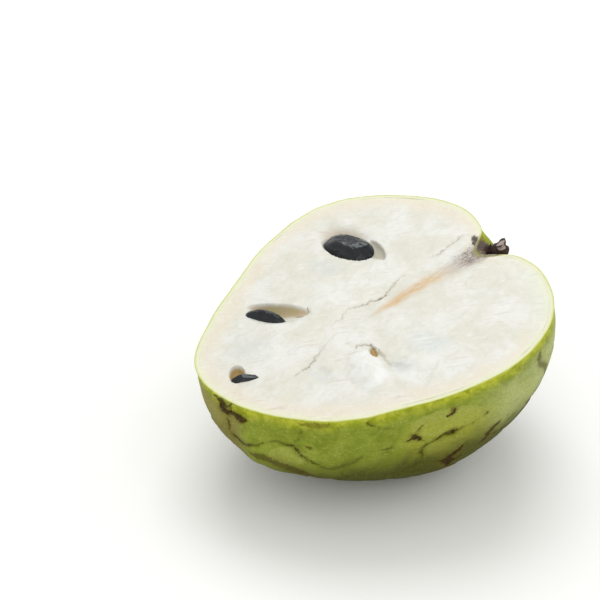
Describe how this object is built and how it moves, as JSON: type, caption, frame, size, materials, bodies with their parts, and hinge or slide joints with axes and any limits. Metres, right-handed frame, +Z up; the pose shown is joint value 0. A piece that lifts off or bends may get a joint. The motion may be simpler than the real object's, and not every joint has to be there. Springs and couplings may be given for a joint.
{
  "type": "halved custard apple",
  "caption": "Lengthwise half of a green custard apple lying cut face up, with white flesh, a tan core and glossy black seeds.",
  "frame": {"origin": "middle of the small flat spot on the underside that the half rests on", "axes": "+Z up, +X along the stem axis towards the stem end, which lies 12 degrees higher, +Y across the cut face to the left of the stem end seen from above"},
  "size_m": [0.114, 0.1083, 0.0641],
  "materials": {
    "skin": "satin fruit skin, green with paler plates and brown scars",
    "flesh": "moist creamy white fruit flesh",
    "core": "fibrous tan core",
    "scar": "dry corky brown",
    "seed": "glossy black"
  },
  "bodies": {
    "root": {"skin": "skin", "flesh": "flesh", "core": "core", "stem_scar": "scar", "seed_1": "seed", "seed_2": "seed", "seed_3": "seed"}
  },
  "joints": []
}
